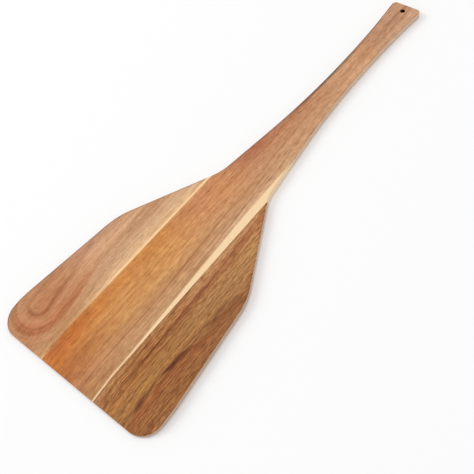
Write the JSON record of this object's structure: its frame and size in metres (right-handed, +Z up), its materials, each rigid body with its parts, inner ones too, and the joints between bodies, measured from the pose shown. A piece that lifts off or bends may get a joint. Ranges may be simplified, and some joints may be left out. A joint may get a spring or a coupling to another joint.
{
  "type": "pizza peel",
  "caption": "Long-handled wooden pizza peel, edge-glued from boards side by side, with a bevelled blade, sloping shoulders, a slim waisted handle and a hanging hole.",
  "frame": {"origin": "on the underside, halfway along the peel's length and on its centre line, with the peel lying flat", "axes": "+Z up out of the face that carries the food, +Y from the blade's front edge to the handle's end, +X to the right seen from above with the handle pointing away"},
  "size_m": [0.306, 0.88, 0.012],
  "materials": {
    "left_wood": "oiled acacia, pinkish mid-brown, satin",
    "centre_wood": "oiled acacia, tan to orange with a cream sapwood stripe, satin",
    "right_wood": "oiled acacia, darker brown with strong streaks, satin",
    "glue": "cured wood glue, amber brown"
  },
  "bodies": {
    "root": {"left_board": "left_wood", "left_glue_line": "glue", "centre_board": "centre_wood", "right_glue_line": "glue", "right_board": "right_wood"}
  },
  "joints": []
}
